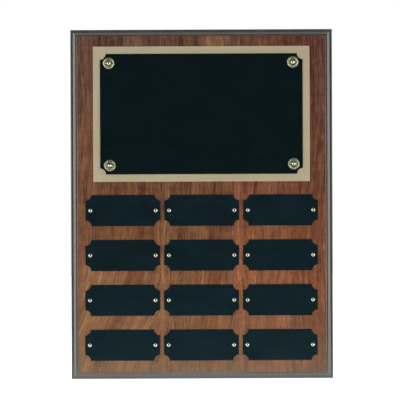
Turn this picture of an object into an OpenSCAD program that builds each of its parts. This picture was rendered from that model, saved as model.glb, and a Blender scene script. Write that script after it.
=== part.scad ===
// Perpetual award plaque: a walnut board with a black routed edge, a large black header plate
// on a satin gold backing plate, and a grid of twelve black name plates.
//
// The plaque stands upright: +Z is up, +X is to the viewer's right and the front faces -Y.
// The origin is the centre of the back face, which lies flat on the wall at y = 0.

/* [Board] */
// Width of the board
board_w = 228.6; // [226:0.2:260]
// Height of the board
board_h = 304.8; // [303:0.2:360]
// Thickness of the board
board_t = 16; // [15:0.5:22]
// Distance of the left glue line from the centre
left_glue_line = 36; // [31:0.5:38]
// Distance of the right glue line from the centre
right_glue_line = 26.5; // [20:0.5:26.5]

/* [Routed edge] */
// Width of the flat lip at the outside of the edge
lip_w = 2.3; // [1.2:0.1:2.5]
// Depth of the lip below the front face
lip_d = 5; // [4.6:0.1:6]
// Radius of the lip's outer corner
lip_r = 0.8; // [0.3:0.1:1]
// Radius of the cove that climbs from the lip
cove_r = 6; // [5:0.5:9]
// Width of the cove, seen from the front
cove_w = 2; // [1.8:0.1:2.6]
// Slope of the cove where it leaves the lip, in degrees
cove_start = 30; // [20:1:32]
// Width of the small step above the cove
step_w = 1.3; // [0.8:0.1:1.6]
// Depth of the small step below the front face
step_d = 1.4; // [1.1:0.1:1.6]
// Radius of the bead between the step and the front face
bead_r = 1; // [0.5:0.1:1.1]

/* [Keyhole] */
// Distance from the top of the board to the top of the keyhole slot
keyhole_drop = 26; // [22:1:60]
// Length of the slot, from the entry's centre to the centre of its top end
keyhole_run = 14; // [10:1:22]
// Diameter of the round entry, which a screw head passes
keyhole_head = 9.6; // [8:0.2:12]
// Width of the slot, which holds the screw's neck
keyhole_neck = 5; // [4.4:0.2:6]
// Depth of the keyhole
keyhole_depth = 10; // [9.6:0.2:11]
// Thickness of the wood left over the undercut
keyhole_skin = 5; // [4.4:0.2:5.2]

/* [Header] */
// Width of the gold backing plate
backing_w = 188.6; // [188:0.2:200]
// Height of the gold backing plate
backing_h = 117.8; // [115:0.2:120]
// Thickness of the gold backing plate
backing_t = 0.6; // [0.4:0.1:1]
// Height of the header's centre above the board's centre
header_z = 78.5; // [78:0.1:80]
// Margin of gold that shows left and right of the black plate
side_margin = 6; // [4:0.1:8.6]
// Margin of gold that shows above and below the black plate
end_margin = 6.4; // [4:0.1:9]
// Thickness of the black plates
plate_t = 0.5; // [0.4:0.1:0.8]
// Radius of the concave corners of the black plates
notch_r = 5.1; // [3:0.1:6]

/* [Name plates] */
// Number of columns
columns = 3; // [1:3]
// Number of rows
rows = 4; // [1:4]
// Width of a name plate
name_w = 65.3; // [62:0.1:66]
// Height of a name plate
name_h = 27.2; // [22:0.2:30]
// Distance between the centres of two columns
column_pitch = 68.6; // [68.5:0.1:69.5]
// Distance between the centres of two rows
row_pitch = 39.1; // [38.4:0.1:39.5]
// How much further to the left each row sits than the row above it
row_drift = 0.26; // [0:0.02:0.3]
// Height of the top row's centre above the board's centre
top_row_z = -5.4; // [-6.5:0.1:-4]

/* [Pins] */
// Distance from a name plate's centre to each of its pins
pin_reach = 28.5; // [28.2:0.1:29]
// Diameter of a pin's head
pin_head_d = 3.7; // [2.6:0.1:4]
// Height of a pin's head
pin_head_h = 1.2; // [0.7:0.1:1.4]
// Diameter of a pin's shank
pin_shank_d = 1.2; // [1:0.05:1.5]
// Length of a pin under its head
pin_length = 9.5; // [7:0.5:12]

/* [Rosettes] */
// Diameter of a rosette
rosette_d = 10; // [9:0.1:12]
// Height of a rosette's raised ring
rosette_h = 1.2; // [1:0.1:1.6]
// Thickness of a rosette's sheet
rosette_t = 0.4; // [0.3:0.05:0.45]
// Distance of a rosette from the header's centre, sideways
rosette_x = 80.5; // [78:0.1:82]
// Distance of a rosette from the header's centre, up or down
rosette_z = 44.5; // [43:0.1:46]
// Diameter of a rosette nail's head
nail_head_d = 4; // [3.4:0.1:4.4]
// Height of a rosette nail's head
nail_head_h = 1.6; // [1.2:0.1:1.8]
// Length of a rosette nail under its head
nail_length = 12.7; // [10:0.1:13]

/* [Hidden] */
$fn = 64;
cut = 1;                    // how far a cutting tool runs past the surface that it cuts
drive_gap = 0.02;           // slack round a driven shank
punch_gap = 0.15;           // slack round a shank in a punched plate
tip_share = 1.4;            // length of a shank's point, in shank diameters
// how far the rosettes were nailed off their even places, sideways and up, in the order of corner_names
slips = [[-0.1, -0.2], [-0.8, 0.3], [0.6, -0.2], [-0.2, 0.7]];

front_y = -board_t;
header_w = backing_w - 2 * side_margin;
header_h = backing_h - 2 * end_margin;
backing_y = front_y - backing_t;
header_y = backing_y - plate_t;
name_y = front_y - plate_t;
seat_y = header_y - rosette_t;

wood_colour = [0.45, 0.30, 0.22];
gold_colour = [0.72, 0.64, 0.46];
black_colour = [0.06, 0.11, 0.13];
brass_colour = [0.78, 0.66, 0.33];

side_names = ["left", "right"];
corner_names = ["top_left", "top_right", "bottom_left", "bottom_right"];

function side_of(i) = i == 0 ? -1 : 1;
function column_x(r, c) = (c - (columns + 1) / 2) * column_pitch - (r - 1) * row_drift;
function row_z(r) = top_row_z - (r - 1) * row_pitch;
function corner_x(i) = rosette_x * side_of(i % 2) + slips[i][0];
function corner_z(i) = header_z - rosette_z * side_of(i < 2 ? 0 : 1) + slips[i][1];
function cell(r, c) = str("r", r, "c", c);

// ---- board -------------------------------------------------------------------------------

// Turns a shape drawn with its axis along +Z, such as a nail's, so that +Z points to the front.
module facing_front(x, y, z) {
    translate([x, y, z]) rotate([90, 0, 0]) children();
}

// What the router takes off one end of the board's section.
// Across is the distance in from the edge, up is the height above the back face.
module edge_cutter() {
    cove_x = lip_w - cove_r * sin(cove_start);
    cove_y = board_t - lip_d + cove_r * cos(cove_start);
    cove_end = lip_w + cove_w;
    step_end = cove_end + step_w;
    // above the lip
    translate([-cut, board_t - lip_d]) square([lip_w + cut, lip_d + cut]);
    // rounded outer corner of the lip
    difference() {
        translate([-cut, board_t - lip_d - lip_r]) square([lip_r + cut, lip_r + cut]);
        translate([lip_r, board_t - lip_d - lip_r]) circle(lip_r);
    }
    // hollow of the cove
    intersection() {
        translate([cove_x, cove_y]) circle(cove_r);
        translate([0, board_t - lip_d]) square([cove_end, lip_d + cut]);
    }
    // above the small step
    translate([-cut, board_t - step_d]) square([step_end + cut, step_d + cut]);
    // round of the bead
    difference() {
        translate([step_end - cut, board_t - bead_r]) square([bead_r + cut, bead_r + cut]);
        translate([step_end + bead_r, board_t - bead_r]) circle(bead_r);
    }
}

// Section of a board of this width, standing on its back face, with both edges routed.
module board_section(width) {
    difference() {
        translate([-width / 2, 0]) square([width, board_t]);
        for (side = [0, 1])
            mirror([side, 0]) translate([-width / 2, 0]) edge_cutter();
    }
}

// A length of board between two vertical cuts, with its edges routed and mitred.
module board_between(x0, x1) {
    intersection() {
        translate([x0, 0, 0]) rotate([90, 0, 90]) linear_extrude(x1 - x0)
            rotate(90) board_section(board_h);
        translate([0, 0, -board_h / 2]) linear_extrude(board_h)
            mirror([0, 1]) board_section(board_w);
    }
}

// Hole that a driven shank of this diameter and length makes, from the front face.
module shank_hole(x, z, diameter, length) {
    facing_front(x, front_y + length, z)
        cylinder(d = diameter + 2 * drive_gap, h = length + cut);
}

// Every hole that pins and nails make between two vertical cuts.
module driven_holes(x0, x1) {
    for (r = [1:rows], c = [1:columns], side = [0, 1]) {
        x = column_x(r, c) + pin_reach * side_of(side);
        if (x > x0 && x < x1)
            shank_hole(x, row_z(r), pin_shank_d, pin_length - plate_t);
    }
    for (i = [0:3])
        if (corner_x(i) > x0 && corner_x(i) < x1)
            shank_hole(corner_x(i), corner_z(i), pin_shank_d, nail_length + seat_y - front_y);
}

// Keyhole for hanging: a round entry, a narrow slot and an undercut behind it.
module keyhole() {
    top_z = board_h / 2 - keyhole_drop - keyhole_head / 2;
    entry_z = top_z - keyhole_run;
    facing_front(0, 0, entry_z) translate([0, 0, -cut])
        cylinder(d = keyhole_head, h = keyhole_depth + cut);
    // neck of the slot
    facing_front(0, 0, top_z) translate([0, 0, -cut])
        cylinder(d = keyhole_neck, h = keyhole_depth + cut);
    translate([-keyhole_neck / 2, -keyhole_depth, entry_z])
        cube([keyhole_neck, keyhole_depth + cut, keyhole_run]);
    // undercut for the screw's head
    facing_front(0, -keyhole_skin, top_z)
        cylinder(d = keyhole_head, h = keyhole_depth - keyhole_skin);
    translate([-keyhole_head / 2, -keyhole_depth, entry_z])
        cube([keyhole_head, keyhole_depth - keyhole_skin, keyhole_run]);
}

module stave(x0, x1) {
    color(wood_colour) difference() {
        board_between(x0, x1);
        driven_holes(x0, x1);
        children();
    }
}

module stave_left() {
    stave(-board_w / 2, -left_glue_line);
}

module stave_middle() {
    stave(-left_glue_line, right_glue_line) keyhole();
}

module stave_right() {
    stave(right_glue_line, board_w / 2);
}

// ---- plates ------------------------------------------------------------------------------

// Outline of a plate whose corners are scooped out by quarter circles.
module scooped_outline(width, height) {
    difference() {
        square([width, height], center = true);
        for (sx = [-1, 1], sz = [-1, 1])
            translate([sx * width / 2, sz * height / 2]) circle(notch_r);
    }
}

module punched_hole() {
    circle(d = pin_shank_d + 2 * punch_gap);
}

module rosette_holes() {
    for (i = [0:3])
        translate([corner_x(i), corner_z(i) - header_z]) punched_hole();
}

module header_backing() {
    color(gold_colour) facing_front(0, front_y, header_z) linear_extrude(backing_t)
        difference() {
            square([backing_w, backing_h], center = true);
            rosette_holes();
        }
}

module header_plate() {
    color(black_colour) facing_front(0, backing_y, header_z) linear_extrude(plate_t)
        difference() {
            scooped_outline(header_w, header_h);
            rosette_holes();
        }
}

module name_plate(r, c) {
    color(black_colour) facing_front(column_x(r, c), front_y, row_z(r)) linear_extrude(plate_t)
        difference() {
            scooped_outline(name_w, name_h);
            for (side = [0, 1])
                translate([pin_reach * side_of(side), 0]) punched_hole();
        }
}

// ---- fasteners ---------------------------------------------------------------------------

// A domed nail standing on its head's underside, with its shank going down from there.
module nail(head_d, head_h, length) {
    dome_r = (pow(head_d / 2, 2) + pow(head_h, 2)) / (2 * head_h);
    tip = pin_shank_d * tip_share;
    color(brass_colour) rotate_extrude() {
        intersection() {
            translate([0, head_h - dome_r]) circle(dome_r);
            square([head_d / 2, head_h]);
        }
        translate([0, tip - length]) square([pin_shank_d / 2, length - tip]);
        polygon([[0, -length], [pin_shank_d / 2, tip - length], [0, tip - length]]);
    }
}

module plate_pin(r, c, side) {
    facing_front(column_x(r, c) + pin_reach * side_of(side), name_y, row_z(r))
        nail(pin_head_d, pin_head_h, pin_length);
}

module rosette_nail(i) {
    facing_front(corner_x(i), seat_y, corner_z(i))
        nail(nail_head_d, nail_head_h, nail_length);
}

// A pressed sheet cup: a hollow raised ring round a flat seat for the nail's head.
module rosette(i) {
    ring_in = nail_head_d / 2 + punch_gap;
    ring_out = rosette_d / 2;
    ring_mid = (ring_in + ring_out) / 2;
    ring_r = (pow(ring_mid - ring_in, 2) + pow(rosette_h, 2)) / (2 * rosette_h);
    color(brass_colour) facing_front(corner_x(i), header_y, corner_z(i)) rotate_extrude() {
        difference() {
            translate([ring_mid, rosette_h - ring_r]) circle(ring_r);
            translate([ring_mid, rosette_h - ring_r]) circle(ring_r - rosette_t);
            translate([ring_mid, -2 * ring_r]) square(4 * ring_r, center = true);
        }
        translate([pin_shank_d / 2 + punch_gap, 0])
            square([ring_in + rosette_t - pin_shank_d / 2 - punch_gap, rosette_t]);
    }
}

// ---- the plaque --------------------------------------------------------------------------

stave_left();
stave_middle();
stave_right();
header_backing();
header_plate();
for (i = [0:3]) {
    rosette(i);
    rosette_nail(i);
}
for (r = [1:rows], c = [1:columns]) {
    name_plate(r, c);
    for (side = [0, 1])
        plate_pin(r, c, side);
}
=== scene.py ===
import math
import random

import bmesh
import bpy
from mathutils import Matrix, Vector


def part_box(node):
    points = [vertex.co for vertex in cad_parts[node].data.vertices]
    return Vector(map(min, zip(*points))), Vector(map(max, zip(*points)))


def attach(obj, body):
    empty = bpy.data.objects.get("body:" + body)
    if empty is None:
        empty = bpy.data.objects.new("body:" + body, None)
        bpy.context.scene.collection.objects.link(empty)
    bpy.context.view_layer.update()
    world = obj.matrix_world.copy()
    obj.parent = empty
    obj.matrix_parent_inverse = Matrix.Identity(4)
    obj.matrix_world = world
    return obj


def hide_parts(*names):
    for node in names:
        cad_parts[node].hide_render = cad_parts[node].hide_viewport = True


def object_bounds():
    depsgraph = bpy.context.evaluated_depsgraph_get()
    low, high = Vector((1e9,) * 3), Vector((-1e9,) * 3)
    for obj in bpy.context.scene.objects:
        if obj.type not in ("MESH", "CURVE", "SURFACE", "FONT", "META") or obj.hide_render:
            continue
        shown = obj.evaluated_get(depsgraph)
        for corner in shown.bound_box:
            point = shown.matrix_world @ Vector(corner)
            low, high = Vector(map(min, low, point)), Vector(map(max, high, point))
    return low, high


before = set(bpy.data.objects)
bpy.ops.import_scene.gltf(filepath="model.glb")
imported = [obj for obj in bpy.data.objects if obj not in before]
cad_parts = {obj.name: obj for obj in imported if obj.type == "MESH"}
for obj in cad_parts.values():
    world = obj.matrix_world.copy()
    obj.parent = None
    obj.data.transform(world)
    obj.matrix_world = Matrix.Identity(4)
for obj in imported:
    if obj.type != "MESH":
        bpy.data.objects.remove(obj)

# The plaque's looks. Everything is in metres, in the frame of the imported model: the back face
# lies on y = 0, the front faces -Y, +Z is up and x = 0, z = 0 is the middle of the board.

MM = 0.001
CAD_LOW, CAD_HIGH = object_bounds()

CORNERS = ("top_left", "top_right", "bottom_left", "bottom_right")
ROWS, COLUMNS = 4, 3
CELLS = [f"r{row}c{column}" for row in range(1, ROWS + 1) for column in range(1, COLUMNS + 1)]
SIDES = ("left", "right")

# ---- sizes ---------------------------------------------------------------------------------

BOARD_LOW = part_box("stave_left")[0]
BOARD_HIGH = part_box("stave_right")[1]
HALF_W = BOARD_HIGH.x
HALF_H = BOARD_HIGH.z
THICK = -BOARD_LOW.y
LEFT_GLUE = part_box("stave_left")[1].x
RIGHT_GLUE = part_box("stave_right")[0].x

# the routed edge, from the back face to the front face
BACK_ROUND = 0.6 * MM
LIP_W = 2.3 * MM
LIP_D = 5 * MM
LIP_R = 0.8 * MM
COVE_R = 6 * MM
COVE_W = 2 * MM
COVE_START = math.radians(30)
STEP_W = 1.3 * MM
STEP_D = 1.4 * MM
STEP_SOFT = 0.3 * MM
BEAD_R = 1 * MM
BEAD_STEPS = 7
ROUTED_W = LIP_W + COVE_W + STEP_W + BEAD_R

# the keyhole in the back
KEY_HEAD_R = 4.8 * MM
KEY_NECK_R = 2.5 * MM
KEY_DEPTH = 10 * MM
KEY_SKIN = 5 * MM           # wood left over the undercut
KEY_CHAMFER = 0.35 * MM
KEY_TOP = HALF_H - 26 * MM - KEY_HEAD_R
KEY_ENTRY = KEY_TOP - 14 * MM

# plates, nails and pins
NOTCH_R = 5.1 * MM          # scoop at a black plate's corner
PUNCH_R = 0.75 * MM         # hole punched for a shank
ROLL = 0.12 * MM            # rolled front edge of a sheared sheet
SHANK_R = 0.6 * MM
TIP = 1.68 * MM             # length of a shank's point
HEAD_RIM = 0.06 * MM        # thin flat rim under a domed head
STUD_H = 1.6 * MM           # height of a rosette nail's head
PIN_H = 1.2 * MM            # height of a plate pin's head

# rosettes
SEAT = 0.4 * MM             # thickness of the sheet
RING_GAP = 0.15 * MM        # from the nail's head to the ring
RING_FOOT = 0.12 * MM       # flat run before the ring rises
RAYS = 16                   # flutes round the ring
RAY_STEPS = 8               # points across a flute
RING_ROWS = 16              # rows of faces from the inside of the ring to its outside
CREST = 0.62                # under 1, the ring is highest nearer to the nail
FLUTE_D = 0.32 * MM         # depth of a flute
FLUTE_GROWTH = 2.2          # a flute is at its full depth after 1 / FLUTE_GROWTH of the ring
SCALLOP_D = 0.22 * MM       # depth of the rim's scallops
HOLLOW_SKIN = 0.35 * MM     # sheet added over the hollow, which the flutes are pressed into


# ---- node helpers --------------------------------------------------------------------------

class Nodes:
    """A node tree, with short calls for the nodes that the materials and the world share."""

    def __init__(self, tree):
        self.tree = tree

    def node(self, kind, *values, **settings):
        """A new node, with its first sockets fed in order."""
        made = self.tree.nodes.new(kind)
        for key, value in settings.items():
            setattr(made, key, value)
        for socket, value in zip(made.inputs, values):
            self.feed(socket, value)
        return made

    def feed(self, socket, value):
        if isinstance(value, bpy.types.NodeSocket):
            self.tree.links.new(value, socket)
        else:
            socket.default_value = value

    def math(self, operation, a, b=0.0, c=0.0, clamp=False):
        return self.node("ShaderNodeMath", a, b, c, operation=operation, use_clamp=clamp).outputs[0]

    def sum(self, *values):
        total = values[0]
        for value in values[1:]:
            total = self.math("ADD", total, value)
        return total

    def swing(self, value, share):
        """A 0..1 value turned into a shift of up to half the share, up or down."""
        return self.math("MULTIPLY_ADD", value, share, -0.5 * share)

    def scaled(self, place, factors):
        return self.node("ShaderNodeVectorMath", place, factors, operation="MULTIPLY").outputs[0]

    def moved(self, place, offset):
        return self.node("ShaderNodeVectorMath", place, offset, operation="ADD").outputs[0]

    def axes(self, place):
        return self.node("ShaderNodeSeparateXYZ", place).outputs

    def join(self, x, y, z):
        return self.node("ShaderNodeCombineXYZ", x, y, z).outputs[0]

    def noise(self, place, per_mm, detail=2.0, roughness=0.5, distortion=0.0):
        made = self.node("ShaderNodeTexNoise")
        self.feed(made.inputs["Vector"], self.scaled(place, per_mm))
        self.feed(made.inputs["Scale"], 1.0)
        self.feed(made.inputs["Detail"], detail)
        self.feed(made.inputs["Roughness"], roughness)
        self.feed(made.inputs["Distortion"], distortion)
        return made.outputs[0]

    def span(self, value, low, high, to_low=0.0, to_high=1.0, kind="SMOOTHSTEP"):
        """value taken from low..high to to_low..to_high, and held at the ends."""
        made = self.node("ShaderNodeMapRange", value, low, high, to_low, to_high,
                         interpolation_type=kind, clamp=True)
        return made.outputs[0]

    def ramp(self, value, stops):
        made = self.node("ShaderNodeValToRGB", value)
        band = made.color_ramp.elements
        while len(band) < len(stops):
            band.new(0.5)
        for element, (at, colour) in zip(band, stops):
            element.position = at
            element.color = (*colour, 1)
        return made.outputs[0]

    def mix(self, amount, a, b, blend="MIX"):
        """Two colours mixed. Sockets 0, 6 and 7 are the factor and the two colours."""
        made = self.node("ShaderNodeMix", data_type="RGBA", blend_type=blend)
        self.feed(made.inputs[0], amount)
        self.feed(made.inputs[6], (*a, 1) if isinstance(a, tuple) else a)
        self.feed(made.inputs[7], (*b, 1) if isinstance(b, tuple) else b)
        return made.outputs[2]

    def bump(self, height, distance, under=None):
        """Raises the surface by height times distance, in metres, on top of the bump under it."""
        made = self.node("ShaderNodeBump")
        self.feed(made.inputs["Strength"], 1.0)
        self.feed(made.inputs["Distance"], distance)
        self.feed(made.inputs["Height"], height)
        if under is not None:
            self.feed(made.inputs["Normal"], under)
        return made.outputs[0]


class Shader(Nodes):
    """A new material's tree, with its surface and the place in millimetres."""

    def __init__(self, name):
        self.material = bpy.data.materials.new(name)
        self.material.use_nodes = True
        super().__init__(self.material.node_tree)
        self.surface = self.tree.nodes["Principled BSDF"]
        place = self.node("ShaderNodeTexCoord").outputs["Object"]
        self.place = self.scaled(place, (1 / MM,) * 3)

    def set(self, **values):
        """Feeds the surface's sockets, named with underscores for spaces."""
        for key, value in values.items():
            self.feed(self.surface.inputs[key.replace("_", " ")], value)


# ---- materials -----------------------------------------------------------------------------

# the wood's colours, from the darkest tone to the lightest
WALNUT_TONES = (
    (0.00, (0.020, 0.008, 0.005)),
    (0.25, (0.070, 0.028, 0.015)),
    (0.50, (0.158, 0.065, 0.031)),
    (0.75, (0.248, 0.116, 0.053)),
    (1.00, (0.400, 0.215, 0.100)),
)


def walnut_grain(s, start, own, lean):
    """A place whose x runs across the grain, which wanders slowly and slants at a curly foot."""
    x, y, z = s.axes(s.place)
    wander = s.swing(s.noise(start, (0.011, 0.02, 0.0045), 2.0), 46.0)
    ripple = s.swing(s.noise(start, (0.05, 0.03, 0.022), 1.0), 5.0)
    slant = s.math("MULTIPLY", z, s.span(z, -20, -150, 0, -lean, "SMOOTHERSTEP"))
    return s.moved(s.join(s.sum(x, wander, ripple, slant), y, z), own)


def walnut_tone(s, grain, fibres, streaks):
    """Tone from broad strips, growth bands, latewood lines, fibres, cross figure and streaks, with
    painted light and shade by height.
    """
    x, _, z = s.axes(s.place)
    strips = s.noise(grain, (0.040, 0.03, 0.0016), 1.0)
    bands = s.noise(grain, (0.23, 0.12, 0.0042), 3.0, 0.6)
    lines = s.math("ABSOLUTE", s.swing(s.noise(grain, (0.10, 0.06, 0.0026), 3.0, 0.55), 2.0))
    figure = s.noise(grain, (0.10, 0.06, 0.18), 2.0, 0.6)
    tone = s.sum(0.5, s.swing(strips, 0.50), s.swing(bands, 0.54), s.swing(fibres, 1.30),
                 s.swing(figure, 0.42), s.span(lines, 0.0, 0.07, -0.10, 0.0),
                 # painted light and shade by height: darker towards the top as painted shade, lighter
                 # in the lower middle and darker again at the foot
                 s.span(z, 20, 140, 0, -0.09), s.span(z, 30, -50, 0, 0.09),
                 s.span(z, -75, -145, 0, -0.21))
    fade = 14       # how softly a streak starts and ends, in mm
    for at, half, drift, z_from, z_to, strength in streaks:
        off = s.math("ABSOLUTE", s.math("SUBTRACT", x, s.math("MULTIPLY_ADD", z, drift, at)))
        across = s.span(off, half * 0.6, half * 1.25, 1, 0)
        along = s.math("MULTIPLY", s.span(z, z_from - fade, z_from + fade),
                       s.span(z, z_to - fade, z_to + fade, 1, 0))
        tone = s.math("MULTIPLY_ADD", s.math("MULTIPLY", across, along), strength, tone)
    return tone


def walnut_pores(s, grain):
    """Short dark dashes along the grain, in drifts."""
    dashes = s.noise(grain, (3.4, 1.6, 0.20), 1.0, 0.4)
    drifts = s.noise(grain, (0.16, 0.1, 0.008), 2.0)
    limit = s.span(drifts, 0.35, 0.68, 0.33, 0.43, "LINEAR")
    return s.math("MULTIPLY", s.math("SUBTRACT", limit, dashes), 14.0, clamp=True)


def walnut_rim_paint_and_shade(s, start, coated):
    """How dark the wood is made next to the moulding, on the sides and much less near the top and the
    foot.
    On the coated front it is painted shade on the bead and just inside it; on the back it is the
    edge's black run just round onto the back.
    """
    x, _, z = s.axes(s.place)
    from_side = s.math("SUBTRACT", HALF_W / MM, s.math("ABSOLUTE", x))
    from_end = s.math("SUBTRACT", HALF_H / MM, s.math("ABSOLUTE", z))
    reach = ROUTED_W / MM if coated else 1.2
    stray = s.swing(s.noise(start, (0.5, 0.5, 0.5), 2.0), 0.5 if coated else 2.0)
    rim = s.sum(s.math("MINIMUM", from_side, from_end), stray)
    rim = s.span(rim, reach - 0.6, reach + 0.7, 0.62, 0)
    return s.math("MULTIPLY", rim, s.span(s.math("ABSOLUTE", z), 142, 151, 1, 0.12))


def walnut(name, seed, tint, lean, streaks, coated):
    """Walnut with its grain along z, more golden in the lower half.
    tint multiplies the colour. lean is how far the grain slants at the foot of the stave.
    streaks are (x, half width, x drift per mm up, z from, z to, strength). Where it is coated,
    it has a satin lacquer and painted light: cooler towards the top, and paler and yellower at
    the foot as a painted reflection of the bright floor in the lacquer."""
    s = Shader(name)
    own = (seed * 37.0, seed * 11.0, seed * 83.0)
    start = s.moved(s.place, own)
    grain = walnut_grain(s, start, own, lean)
    fibres = s.noise(grain, (1.0, 0.6, 0.060), 4.0, 0.72)
    pore = walnut_pores(s, grain)
    z = s.axes(s.place)["Z"]

    colour = s.ramp(walnut_tone(s, grain, fibres, streaks), WALNUT_TONES)
    colour = s.mix(1.0, colour, tint, "MULTIPLY")
    warmth = s.noise(grain, (0.06, 0.05, 0.004), 2.0)
    colour = s.mix(s.span(warmth, 0.40, 0.65, 0, 0.30), colour, (0.30, 0.085, 0.040), "OVERLAY")
    golden = s.noise(grain, (0.045, 0.04, 0.009), 2.0, 0.6)
    golden = s.math("MULTIPLY", s.span(golden, 0.46, 0.62, 0, 0.55), s.span(z, 10, -70))
    colour = s.mix(golden, colour, s.mix(1.0, colour, (1.22, 1.14, 0.82), "MULTIPLY"))
    if coated:
        # painted light on the lacquered face: paler and yellower towards the foot as a painted
        # reflection of the bright floor, and cooler towards the top
        colour = s.mix(s.span(z, -60, -150, 0, 0.36), colour, (0.212, 0.148, 0.084))
        colour = s.mix(s.span(z, 0, 150), colour, (0.95, 1.10, 1.38), "MULTIPLY")
    colour = s.mix(s.math("MULTIPLY", pore, 0.70), colour, (0.028, 0.013, 0.009))
    # painted shade on the bead at the sides of the front; on the back, the edge's black run round onto
    # it
    colour = s.mix(walnut_rim_paint_and_shade(s, start, coated), colour, (0.024, 0.021, 0.018))

    relief = s.math("MULTIPLY_ADD", fibres, 0.35, s.math("MULTIPLY", pore, -1))
    s.set(Base_Color=colour, Normal=s.bump(relief, 0.035 * MM))
    if coated:
        s.set(Roughness=s.span(fibres, 0.3, 0.7, 0.56, 0.46), Coat_Weight=0.65)
        s.surface.inputs["Specular IOR Level"].default_value = 0.12
        s.surface.inputs["Coat Roughness"].default_value = 0.20
        s.set(Coat_Normal=s.bump(pore, -0.012 * MM))
    else:
        s.set(Roughness=s.span(fibres, 0.3, 0.7, 0.78, 0.64))
        s.surface.inputs["Specular IOR Level"].default_value = 0.35
    return s.material


def edge_paint():
    """Black paint with a sheen, sprayed on the moulding: soft orange peel, the wood's grain
    showing through along z, a little dust in it, and the lip's corner rubbed in places."""
    s = Shader("edge_paint")
    x, y, z = s.axes(s.place)
    sag = s.noise(s.place, (0.10, 0.10, 0.05), 2.0)
    peel = s.noise(s.place, (0.8, 0.8, 0.8), 1.0)
    grain = s.noise(s.place, (2.4, 2.4, 0.07), 2.0, 0.6)
    nibs = s.span(s.noise(s.place, (1.9, 1.9, 1.9), 0.0), 0.76, 0.80)
    colour = s.mix(s.span(sag, 0.3, 0.7), (0.046, 0.042, 0.037), (0.058, 0.053, 0.046))
    colour = s.mix(s.span(grain, 0.30, 0.42, 0.45, 0), colour, (0.020, 0.018, 0.016))
    colour = s.mix(s.math("MULTIPLY", nibs, 0.3), colour, (0.12, 0.11, 0.09))
    from_edge = s.math("MINIMUM", s.math("SUBTRACT", HALF_W / MM, s.math("ABSOLUTE", x)),
                       s.math("SUBTRACT", HALF_H / MM, s.math("ABSOLUTE", z)))
    corner = s.math("ADD", from_edge, s.math("ADD", y, (THICK - LIP_D) / MM))
    rubbed = s.sum(corner, s.swing(s.noise(s.place, (0.35, 0.35, 0.10), 3.0, 0.65), 2.4))
    colour = s.mix(s.span(rubbed, 0.0, 0.35, 0.55, 0), colour, (0.120, 0.080, 0.052))
    s.set(Base_Color=colour, Roughness=s.span(sag, 0.3, 0.7, 0.34, 0.42), Coat_Weight=0.5)
    s.surface.inputs["Coat Roughness"].default_value = 0.22
    s.surface.inputs["IOR"].default_value = 1.58
    height = s.sum(s.math("MULTIPLY", peel, 0.4), s.math("MULTIPLY", grain, 0.9), nibs)
    s.set(Normal=s.bump(height, 0.008 * MM), Coat_Normal=s.bump(height, 0.006 * MM))
    return s.material


def raw_wood():
    """Freshly cut walnut inside the keyhole, with the cutter's rings."""
    s = Shader("raw_wood")
    fibres = s.noise(s.place, (1.2, 0.9, 0.05), 3.0, 0.6)
    rings = s.noise(s.place, (0.4, 2.4, 0.4), 2.0)
    colour = s.ramp(fibres, ((0.3, (0.070, 0.032, 0.019)), (0.7, (0.230, 0.120, 0.070))))
    s.set(Base_Color=colour, Roughness=0.85, Normal=s.bump(s.math("ADD", fibres, rings), 0.12 * MM))
    return s.material


def satin_gold():
    """Lacquered sheet brass with a fine satin brushing from side to side."""
    s = Shader("satin_gold")
    brushed = s.noise(s.place, (0.05, 1.0, 5.5), 3.0, 0.6)
    etched = s.noise(s.place, (6, 6, 6), 2.0, 0.6)
    cloud = s.noise(s.place, (0.02, 0.02, 0.03), 2.0)
    tone = s.math("MULTIPLY_ADD", brushed, 0.5, s.math("MULTIPLY", cloud, 0.5))
    colour = s.ramp(tone, ((0.35, (0.640, 0.560, 0.385)), (0.65, (0.715, 0.635, 0.440))))
    s.set(Base_Color=colour, Metallic=1.0, Roughness=s.span(etched, 0.3, 0.7, 0.50, 0.60))
    s.set(Normal=s.bump(s.math("MULTIPLY_ADD", brushed, 0.6, etched), 0.006 * MM))
    return s.material


def black_plate(name, shades):
    """Satin black coating over thin sheet that isn't quite flat, with faint wiping marks and
    painted soft reflections in its colour, which differ from plate to plate."""
    s = Shader(name)
    own = s.node("ShaderNodeObjectInfo").outputs["Location"]
    apart = 3       # the plates' marks are taken this many times further apart than the plates
    start = s.moved(s.place, s.scaled(own, (apart / MM,) * 3))
    wave = s.noise(start, (0.012, 0.02, 0.018), 0.0)
    wipe_and_reflection = s.noise(start, (0.035, 0.1, 0.07), 3.0, 0.55, 0.6)
    grit = s.noise(s.place, (7, 7, 7), 1.0)
    # the colour's clouds are faint wiping marks and painted soft reflections
    colour = s.ramp(wipe_and_reflection, ((0.3, shades[0]), (0.7, shades[1])))
    s.set(Base_Color=colour, Roughness=s.span(wipe_and_reflection, 0.2, 0.8, 0.14, 0.19))
    s.surface.inputs["IOR"].default_value = 1.42
    s.set(Normal=s.bump(grit, 0.002 * MM, s.bump(wave, 0.12 * MM)))
    return s.material


def cut_brass():
    """The sheared edge of the black sheet."""
    s = Shader("cut_brass")
    shear = s.noise(s.place, (3, 9, 3), 2.0)
    colour = s.ramp(shear, ((0.3, (0.30, 0.21, 0.09)), (0.7, (0.56, 0.43, 0.20))))
    s.set(Base_Color=colour, Metallic=1.0, Roughness=0.42, Normal=s.bump(shear, 0.01 * MM))
    return s.material


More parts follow.
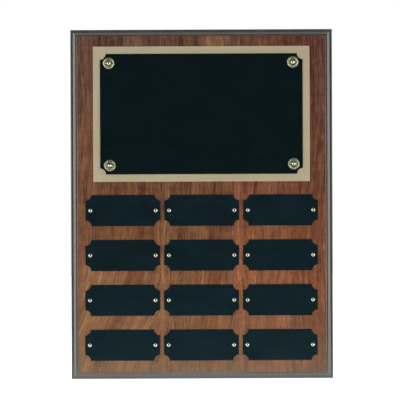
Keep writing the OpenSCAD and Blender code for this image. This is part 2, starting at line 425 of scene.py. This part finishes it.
def pressed_brass():
    """Brass of the rosettes: dark with painted shade in the flutes, rubbed smooth on the ribs
    and tarnished in places.
    """
    s = Shader("pressed_brass")
    x, _, z = s.axes(s.place)
    tarnish = s.noise(s.place, (0.9, 0.9, 0.9), 3.0, 0.6)
    fine = s.noise(s.place, (9, 9, 9), 2.0)
    turn = s.math("MULTIPLY", s.math("ARCTAN2", z, x), RAYS)
    radius = s.math("SQRT", s.math("ADD", s.math("MULTIPLY", x, x), s.math("MULTIPLY", z, z)))
    # painted shade: the flutes are darkened in the colour as well as pressed into the ring; tarnish
    # adds to the dark
    flute_shade = s.math("MULTIPLY", s.span(s.math("COSINE", turn), 0.85, -0.1), s.span(radius, 2.2, 2.8))
    dark = s.math("MULTIPLY_ADD", flute_shade, 0.90, s.span(tarnish, 0.4, 0.75, 0, 0.3), clamp=True)
    colour = s.mix(dark, (0.52, 0.56, 0.38), (0.018, 0.023, 0.013))
    s.set(Base_Color=colour, Metallic=1.0, Roughness=s.span(dark, 0, 1, 0.14, 0.45))
    s.set(Normal=s.bump(fine, 0.006 * MM))
    return s.material


def polished_brass(name, shades, rough):
    """Nail and pin heads, with the small facets that the hammer leaves."""
    s = Shader(name)
    facets = s.noise(s.place, (1.1, 1.1, 1.1), 1.0)
    scratches = s.noise(s.place, (14, 3, 3), 2.0)
    tarnish = s.noise(s.place, (0.8, 0.8, 0.8), 2.0)
    colour = s.ramp(tarnish, ((0.3, shades[0]), (0.75, shades[1])))
    s.set(Base_Color=colour, Metallic=1.0)
    s.set(Roughness=s.span(scratches, 0.3, 0.7, rough - 0.05, rough + 0.05))
    s.set(Normal=s.bump(scratches, 0.002 * MM, s.bump(facets, 0.07 * MM)))
    return s.material


# ---- mesh helpers --------------------------------------------------------------------------

def piece(name, points, faces, materials, slots=None, sharp=34.0, at=(0, 0, 0)):
    """A mesh object on the body root. slots gives each face's material by its number."""
    mesh = bpy.data.meshes.new(name)
    mesh.from_pydata([tuple(p) for p in points], [], faces)
    for material in materials:
        mesh.materials.append(material)
    if slots is not None:
        mesh.polygons.foreach_set("material_index", slots)
    made = bpy.data.objects.new(name, mesh)
    bpy.context.scene.collection.objects.link(made)
    made.location = at
    work = bmesh.new()
    work.from_mesh(mesh)
    bmesh.ops.remove_doubles(work, verts=work.verts, dist=1e-7)
    bmesh.ops.recalc_face_normals(work, faces=work.faces)
    work.to_mesh(mesh)
    work.free()
    shade(made, sharp)
    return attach(made, "root")


def shade(made, sharp):
    """Smooth shading up to an angle, with large flat faces kept truly flat."""
    made.data.shade_smooth()
    made.data.set_sharp_from_angle(angle=math.radians(sharp))
    if "flat" not in made.modifiers:
        flat = made.modifiers.new("flat", "WEIGHTED_NORMAL")
        flat.keep_sharp = True
        flat.weight = 90


def arc(centre, radius, start, end, steps):
    """Points on a circle in a plane, with angles in degrees."""
    turns = [math.radians(start + (end - start) * i / steps) for i in range(steps + 1)]
    return [(centre[0] + radius * math.cos(t), centre[1] + radius * math.sin(t)) for t in turns]


def lathe(outline, steps):
    """Points and faces of (radius, height) turned about an axis that points to the front, -Y."""
    points, faces = [], []
    for radius, height in outline:
        for i in range(steps):
            turn = 2 * math.pi * i / steps
            points.append((radius * math.cos(turn), -height, radius * math.sin(turn)))
    for k in range(len(outline) - 1):
        for i in range(steps):
            j = (i + 1) % steps
            faces.append((k * steps + i, k * steps + j, (k + 1) * steps + j, (k + 1) * steps + i))
    return points, faces


def middle(node):
    """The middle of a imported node's box."""
    low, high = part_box(node)
    return (low + high) / 2


# ---- the board -----------------------------------------------------------------------------

def edge_outline():
    """The edge's section as (inset, y) from the back face to the front face."""
    lip_y = -THICK + LIP_D
    cove = (LIP_W - COVE_R * math.sin(COVE_START), lip_y - COVE_R * math.cos(COVE_START))
    cove_end = LIP_W + COVE_W
    steep = math.degrees(math.acos((cove_end - cove[0]) / COVE_R))
    step_y = -THICK + STEP_D
    step_end = cove_end + STEP_W
    section = arc((BACK_ROUND, -BACK_ROUND), BACK_ROUND, 90, 180, 5)
    section += arc((LIP_R, lip_y + LIP_R), LIP_R, 180, 270, 6)
    section += arc(cove, COVE_R, 90 - math.degrees(COVE_START), steep, 9)
    section += arc((cove_end + STEP_SOFT, step_y + STEP_SOFT), STEP_SOFT, 180, 270, 4)
    section += [(step_end, step_y)]
    section += arc((step_end + BEAD_R, -THICK + BEAD_R), BEAD_R, 180, 270, BEAD_STEPS)
    return section


def stave(name, x0, x1, materials):
    """The board between two vertical cuts. The face numbers are front, edge, back."""
    at_left, at_right = x0 <= -HALF_W + MM, x1 >= HALF_W - MM
    points, faces, slots = [], [], []
    section = edge_outline()
    for inset, y in section:
        left = -HALF_W + inset if at_left else x0
        right = HALF_W - inset if at_right else x1
        top = HALF_H - inset
        points += [(left, y, -top), (left, y, top), (right, y, top), (right, y, -top)]
    for k in range(len(section) - 1):
        for side in range(4):
            a, b = 4 * k + side, 4 * k + (side + 1) % 4
            glued = (side == 0 and not at_left) or (side == 2 and not at_right)
            if not glued:
                faces.append((a, b, b + 4, a + 4))
                slots.append(1 if k < len(section) - 1 - BEAD_STEPS else 0)
    for side, open_side in ((0, not at_left), (2, not at_right)):
        if open_side:
            rim = [4 * k + side for k in range(len(section))]
            rim += [4 * k + (side + 1) % 4 for k in reversed(range(len(section)))]
            faces.append(tuple(rim))
            slots.append(0)
    faces += [(3, 2, 1, 0), tuple(range(len(points) - 4, len(points)))]
    slots += [2, 0]
    made = piece(name + "_wood", points, faces, materials, slots, 40)
    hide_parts(name)
    return made


def slot_outline(radius, low, high, steps=20):
    """A slot with a round end at the top and bottom, as (x, z)."""
    return arc((0, high), radius, 0, 180, steps) + arc((0, low), radius, 180, 360, steps)


def stack(levels):
    """Closed solid through outlines with the same number of points: [(outline, y), ...]."""
    count = len(levels[0][0])
    points = [(x, y, z) for outline, y in levels for x, z in outline]
    faces = [tuple(range(count)), tuple(range(len(points) - count, len(points)))]
    for k in range(len(levels) - 1):
        for i in range(count):
            j = (i + 1) % count
            faces.append((k * count + i, k * count + j, (k + 1) * count + j, (k + 1) * count + i))
    return points, faces


def cut_keyhole(wood, material):
    """Routs the keyhole out of a stave's back: entry, neck and undercut, with a soft mouth."""
    past = 1 * MM
    mouths = []
    for radius, low, high in ((KEY_HEAD_R, KEY_ENTRY, KEY_ENTRY), (KEY_NECK_R, KEY_ENTRY, KEY_TOP)):
        wide = slot_outline(radius + KEY_CHAMFER + past, low, high)
        mouths.append(stack([(wide, past), (slot_outline(radius, low, high), -KEY_CHAMFER),
                             (slot_outline(radius, low, high), -KEY_DEPTH)]))
    under = slot_outline(KEY_HEAD_R, KEY_ENTRY, KEY_TOP)
    mouths.append(stack([(under, -KEY_SKIN), (under, -KEY_DEPTH)]))
    for number, (points, faces) in enumerate(mouths):
        cutter = piece(f"cutter_{number}", points, faces, [material])
        cut = wood.modifiers.new("keyhole", "BOOLEAN")
        cut.operation = "DIFFERENCE"
        cut.solver = "EXACT"
        cut.material_mode = "TRANSFER"
        cut.object = cutter
        wood.modifiers.move(len(wood.modifiers) - 1, 0)
        with bpy.context.temp_override(object=wood, active_object=wood):
            bpy.ops.object.modifier_apply(modifier=cut.name)
        bpy.data.objects.remove(cutter)
    shade(wood, 40)


def board():
    """Three staves glued side by side, with the keyhole in the middle one."""
    paint, raw = edge_paint(), raw_wood()
    # each stave's walnut: seed, tint, lean, streaks
    looks = {
        "stave_left": (3, (0.96, 0.96, 0.96), 0.24, [(-84, 9, 0.16, -160, -40, 0.06),
                                                    (-75, 36, 0.0, -170, -50, 0.12)]),
        "stave_middle": (7, (1.00, 1.00, 0.97), 0.05, [(13, 12, 0.0, 60, 170, 0.31),
                                                     (11, 9, 0.0, -170, -70, 0.07)]),
        "stave_right": (12, (1.13, 0.98, 1.02), 0.0, [(80, 5, 0.10, -170, -50, 0.13)]),
    }
    ends = {
        "stave_left": (-HALF_W, LEFT_GLUE),
        "stave_middle": (LEFT_GLUE, RIGHT_GLUE),
        "stave_right": (RIGHT_GLUE, HALF_W),
    }
    for name, (seed, tint, lean, streaks) in looks.items():
        front = walnut(name + "_front", seed, tint, lean, streaks, True)
        back = walnut(name + "_back", seed, tint, lean, streaks, False)
        wood = stave(name, *ends[name], [front, paint, back])
        if name == "stave_middle":
            cut_keyhole(wood, raw)


# ---- plates --------------------------------------------------------------------------------

def plate_outline(width, height, notch, inset):
    """Outline of a plate, as (x, z), drawn in by inset; scooped corners if notch isn't 0."""
    w, h = width / 2, height / 2
    if not notch:
        w, h = w - inset, h - inset
        return [(-w, -h), (w, -h), (w, h), (-w, h)]
    reach = notch + inset
    skew = math.degrees(math.asin(inset / reach))
    outline = []
    for sx, sz, start in ((1, 1, 270), (-1, 1, 360), (-1, -1, 90), (1, -1, 180)):
        outline += arc((sx * w, sz * h), reach, start - skew, start - 90 + skew, 10)
    return outline


def plate(name, node, notch, holes, face, rim):
    """A punched sheet plate with rolled front edges and the rim material on its cut sides.
    holes are (x, z) from its middle."""
    low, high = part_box(node)
    width, height, thick = high.x - low.x, high.z - low.z, high.y - low.y
    work = bmesh.new()
    rings = []
    for inset, y in ((0, 0), (0, ROLL - thick), (0.3 * ROLL, 0.3 * ROLL - thick), (ROLL, -thick)):
        outlines = [plate_outline(width, height, notch, inset)]
        outlines += [arc(hole, PUNCH_R + inset, 0, -348.75, 31) for hole in holes]
        rings.append([[work.verts.new((x, y, z)) for x, z in line] for line in outlines])
    for level, (below, above) in enumerate(zip(rings, rings[1:])):
        for line, over in zip(below, above):
            for i in range(len(line)):
                j = (i + 1) % len(line)
                side = work.faces.new((line[i], line[j], over[j], over[i]))
                side.material_index = 1 if level == 0 else 0
    for ring in (rings[0], rings[-1]):
        loops = [work.edges.get((line[i - 1], line[i])) for line in ring for i in range(len(line))]
        bmesh.ops.triangle_fill(work, edges=loops, use_beauty=True)
    bmesh.ops.recalc_face_normals(work, faces=work.faces)
    mesh = bpy.data.meshes.new(name)
    work.to_mesh(mesh)
    work.free()
    mesh.materials.append(face)
    mesh.materials.append(rim)
    made = bpy.data.objects.new(name, mesh)
    bpy.context.scene.collection.objects.link(made)
    shade(made, 50)
    centre = middle(node)
    made.location = (centre.x, high.y, centre.z)
    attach(made, "root")
    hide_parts(node)
    return made


def plates():
    """The gold sheet, the header plate on it, and the name plates."""
    gold, brass = satin_gold(), cut_brass()
    deep_black = black_plate("header_black", ((0.0024, 0.0070, 0.0080), (0.0034, 0.0092, 0.0108)))
    blue_black = black_plate("name_black", ((0.0046, 0.0118, 0.0134), (0.0054, 0.0160, 0.0222)))
    header = middle("header_plate")
    corners = [middle(f"rosette_{corner}") for corner in CORNERS]
    holes = [(p.x - header.x, p.z - header.z) for p in corners]
    plate("backing_sheet", "header_backing", 0, holes, gold, gold)
    plate("header_sheet", "header_plate", NOTCH_R, holes, deep_black, brass)
    for cell in CELLS:
        centre = middle(f"name_plate_{cell}")
        holes = [(middle(f"pin_{cell}_{side}").x - centre.x, 0) for side in SIDES]
        made = plate(f"name_sheet_{cell}", f"name_plate_{cell}", NOTCH_R, holes, blue_black, brass)


# ---- rosettes, nails and pins --------------------------------------------------------------

def rosette(corner, material, turn):
    """A pressed cup: a hollow ring with flutes that run out to a scalloped rim."""
    node = f"rosette_{corner}"
    low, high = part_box(node)
    outer, height = (high.x - low.x) / 2, high.y - low.y
    head = f"rosette_nail_{corner}"
    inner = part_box(head)[1].x - middle(head).x + RING_GAP
    mid, half = (inner + outer) / 2, (outer - inner) / 2
    steps = RAYS * RAY_STEPS
    levels = [(PUNCH_R, SEAT, 0), (inner, SEAT, 0)]
    for k in range(RING_ROWS + 1):
        share = k / RING_ROWS
        r = inner + RING_FOOT + (outer - inner - RING_FOOT) * share
        rise = SEAT + (height - SEAT) * math.sin(math.pi * share ** CREST)
        levels.append((r, rise, min(FLUTE_GROWTH * share, 1)))
    levels.append((outer, 0, 1))
    points, faces = [], []
    for r, rise, depth in levels:
        for i in range(steps):
            groove = 0.5 - 0.5 * math.cos(2 * math.pi * i / RAY_STEPS)
            way = 2 * math.pi * i / steps
            up = max(rise - FLUTE_D * depth * groove, 0)
            out = r - SCALLOP_D * groove * max(0, (r - mid) / half)
            points.append((out * math.cos(way), -up, out * math.sin(way)))
    hollow = height - SEAT - HOLLOW_SKIN
    under = [(outer - SEAT, 0), (mid, hollow), (inner + SEAT, SEAT / 2), (inner, 0)]
    for r, up in under + [(PUNCH_R, 0)]:
        for i in range(steps):
            way = 2 * math.pi * i / steps
            points.append((r * math.cos(way), -up, r * math.sin(way)))
    rows = len(levels) + len(under) + 1
    for k in range(rows):
        for i in range(steps):
            j, up = (i + 1) % steps, (k + 1) % rows
            faces.append((k * steps + i, k * steps + j, up * steps + j, up * steps + i))
    centre = middle(node)
    place = (centre.x, high.y, centre.z)
    made = piece(f"rosette_cup_{corner}", points, faces, [material], sharp=60, at=place)
    made.rotation_euler.y = turn
    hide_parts(node)


def nail(name, node, head_height, material, turn):
    """A domed nail: head with a thin flat rim, shank and point."""
    low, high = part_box(node)
    head_r = (high.x - low.x) / 2
    length = high.y - low.y - head_height
    dome = (head_r ** 2 + head_height ** 2) / (2 * head_height)
    reach = math.degrees(math.asin(head_r / dome))
    outline = [(0, -length), (SHANK_R * 0.5, TIP * 0.5 - length), (SHANK_R, TIP - length), (SHANK_R, 0)]
    outline += [(head_r - HEAD_RIM, 0)]
    outline += arc((0, head_height - dome), dome, 90 - reach * 0.985, 90, 14)
    points, faces = lathe(outline, 40)
    centre = middle(node)
    place = (centre.x, low.y + head_height, centre.z)
    made = piece(name, points, faces, [material], sharp=40, at=place)
    made.rotation_euler.y = turn
    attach(made, "root")
    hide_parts(node)


def fasteners():
    """The rosettes with their nails, and the plates' pins, each turned its own way."""
    cup = pressed_brass()
    stud = polished_brass("stud_brass", ((0.62, 0.57, 0.39), (0.38, 0.32, 0.18)), 0.14)
    pin = polished_brass("pin_brass", ((0.43, 0.45, 0.37), (0.28, 0.30, 0.24)), 0.22)
    dice = random.Random(5)
    for corner in CORNERS:
        rosette(corner, cup, dice.uniform(0, math.tau / RAYS))
        nail(f"rosette_stud_{corner}", f"rosette_nail_{corner}", STUD_H, stud,
             dice.uniform(0, math.tau))
    for cell in CELLS:
        for side in SIDES:
            nail(f"pin_head_{cell}_{side}", f"pin_{cell}_{side}", PIN_H, pin,
                 dice.uniform(0, math.tau))


# ---- stage ---------------------------------------------------------------------------------

def floor():
    """Plain white floor, from a little in front of the plaque to far behind it."""
    side, front, back, gap = 2.4, -0.11, 3.0, 0.5 * MM
    mesh = bpy.data.meshes.new("floor")
    corners = [(-side, front, 0), (side, front, 0), (side, back, 0), (-side, back, 0)]
    mesh.from_pydata(corners, [], [(0, 1, 2, 3)])
    made = bpy.data.objects.new("floor", mesh)
    bpy.context.scene.collection.objects.link(made)
    made.location.z = CAD_LOW.z - gap
    s = Shader("floor_white")
    s.set(Base_Color=(0.93, 0.93, 0.93, 1), Roughness=0.7)
    s.set(Emission_Color=(1, 1, 1, 1), Emission_Strength=1.0)
    mesh.materials.append(s.material)


def softbox(name, place, aim, width, height, power, colour=(1, 1, 1)):
    """An area light at a place, turned to shine at its aim."""
    data = bpy.data.lights.new(name, "AREA")
    data.shape = "RECTANGLE"
    data.size, data.size_y = width, height
    data.energy = power
    data.color = colour
    made = bpy.data.objects.new(name, data)
    bpy.context.scene.collection.objects.link(made)
    made.location = place
    made.rotation_euler = (Vector(aim) - Vector(place)).to_track_quat("-Z", "Y").to_euler()


def studio():
    """White all round for the eye; for light, brightest beside, white behind, dim in front."""
    world = bpy.data.worlds.new("studio")
    bpy.context.scene.world = world
    world.use_nodes = True
    world.node_tree.nodes.clear()
    w = Nodes(world.node_tree)
    _, y, z = w.axes(w.node("ShaderNodeTexCoord").outputs["Generated"])
    front = w.span(y, -0.75, -0.15, 0.02, 2.9)
    behind = w.span(y, 0.30, 0.75, 1.0, 0.32)
    above = w.span(z, 0.15, 0.7, 1.0, 0.42)
    strength = w.math("MULTIPLY", w.math("MULTIPLY", front, behind), above)
    lit = w.node("ShaderNodeBackground", (0.8, 0.8, 0.8, 1), strength).outputs[0]
    seen = w.node("ShaderNodeBackground", (1, 1, 1, 1), 1.02).outputs[0]
    direct = w.node("ShaderNodeLightPath").outputs["Is Camera Ray"]
    w.node("ShaderNodeOutputWorld", w.node("ShaderNodeMixShader", direct, lit, seen).outputs[0])
    softbox("left", (-1.5, -1.25, 0.08), (0, 0, 0), 1.3, 0.8, 20.8)
    softbox("right", (1.5, -1.25, -0.08), (0, 0, 0), 1.3, 0.8, 20.8, (1, 0.97, 0.92))


def camera():
    """Square on from the front with a long lens, turned by about a quarter of a degree.
    field is the width that the picture spans at the board's front face."""
    distance, field = 2.2, 348.4 * MM
    data = bpy.data.cameras.new("camera")
    data.sensor_width = 36
    data.lens = data.sensor_width * distance / field
    data.clip_end = 50
    made = bpy.data.objects.new("camera", data)
    bpy.context.scene.collection.objects.link(made)
    made.location = (-1.5 * MM, -THICK - distance, 3.5 * MM)
    made.rotation_euler = (math.radians(90), math.radians(0.24), 0)
    bpy.context.scene.camera = made


camera()
board()
plates()
fasteners()
floor()
studio()
bpy.context.scene.view_settings.view_transform = "Standard"
